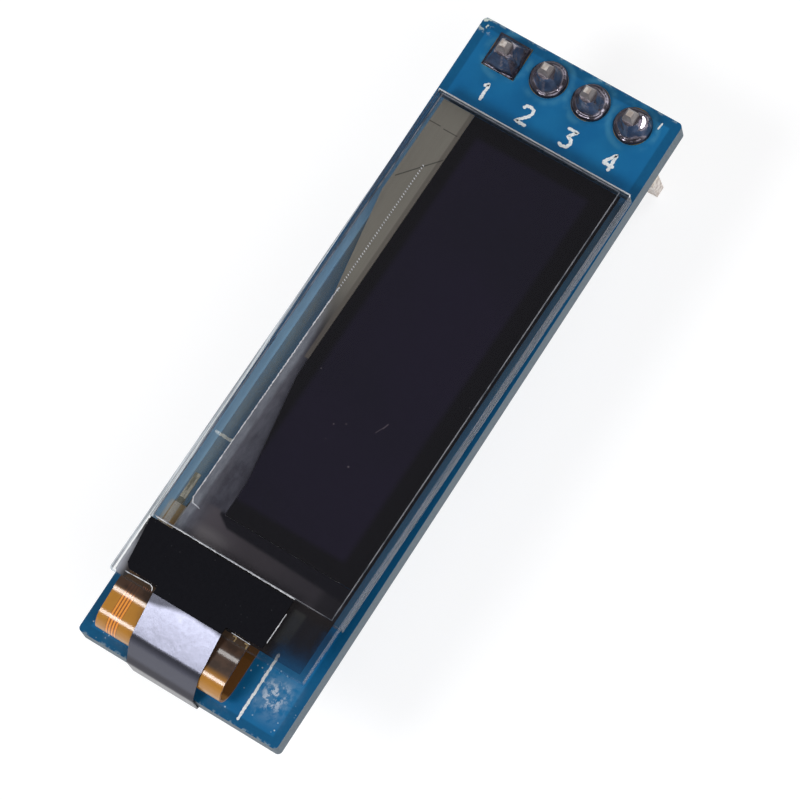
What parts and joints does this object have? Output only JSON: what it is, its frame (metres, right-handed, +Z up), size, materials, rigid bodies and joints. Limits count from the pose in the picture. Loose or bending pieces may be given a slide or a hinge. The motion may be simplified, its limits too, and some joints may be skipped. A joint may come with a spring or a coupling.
{
  "type": "small oled module",
  "caption": "Slim display module: a clear-edged OLED glass panel tilted on a narrow blue circuit board, with a folded amber flex tail, black cover tape and a pin header.",
  "frame": {"origin": "middle of the pin row, on the underside of the header housing, which is the face that seats on a socket", "axes": "+X along the board from the pins to the flex end, +Y across the board from the first pin to the last, +Z up, out of the screen"},
  "size_m": [0.0382, 0.012, 0.0127],
  "materials": {
    "solder_mask": "blue lacquer over glass-fibre laminate, satin gloss",
    "plated_copper": "gold-coloured plating, thinly tinned",
    "header_plastic": "black moulded plastic, matte",
    "pin_metal": "pale gold-plated brass with tinned tips",
    "solder": "bright solder, smooth and domed",
    "adhesive_pad": "double-sided tape, matte",
    "foam": "closed-cell foam tape, matte black",
    "clear_glass": "clear float glass with scribed edges",
    "desiccant": "white drying sheet, matte",
    "seal_glue": "cured clear glue line",
    "screen_film": "dark light-emitting layers seen through glass",
    "lead_film": "fine metal leads seen through glass",
    "polarizer_film": "grey polarizing film, glossy",
    "silicon": "bare silicon, mirror smooth",
    "polyimide": "amber polyimide film with copper tracks, glossy",
    "cover_tape": "black polyester tape, satin",
    "tinned_land": "tinned copper, satin",
    "moulded_package": "black moulded epoxy, matte",
    "chip_ceramic": "tan ceramic with tinned ends",
    "chip_resistor": "black glazed ceramic with tinned ends"
  },
  "bodies": {
    "root": {"circuit_board": "solder_mask", "hole_plating_1": "plated_copper", "hole_plating_2": "plated_copper", "hole_plating_3": "plated_copper", "hole_plating_4": "plated_copper", "header_housing": "header_plastic", "header_pin_1": "pin_metal", "header_pin_2": "pin_metal", "header_pin_3": "pin_metal", "header_pin_4": "pin_metal", "solder_joint_1": "solder", "solder_joint_2": "solder", "solder_joint_3": "solder", "solder_joint_4": "solder", "near_adhesive_pad": "adhesive_pad", "foam_pad": "foam", "rear_glass": "clear_glass", "desiccant_sheet": "desiccant", "glass_seal": "seal_glue", "screen_layer": "screen_film", "lead_layer": "lead_film", "front_glass": "clear_glass", "polarizer": "polarizer_film", "driver_chip": "silicon", "flex_cable": "polyimide", "flex_lands": "tinned_land", "flex_solder": "solder", "cover_tape": "cover_tape", "chip_lands": "tinned_land", "chip_solder": "solder", "voltage_regulator": "moulded_package", "capacitor_1": "chip_ceramic", "capacitor_2": "chip_ceramic", "capacitor_3": "chip_ceramic", "capacitor_4": "chip_ceramic", "capacitor_5": "chip_ceramic", "capacitor_6": "chip_ceramic", "capacitor_7": "chip_ceramic", "resistor_1": "chip_resistor", "resistor_2": "chip_resistor", "resistor_3": "chip_resistor", "resistor_4": "chip_resistor"}
  },
  "joints": []
}
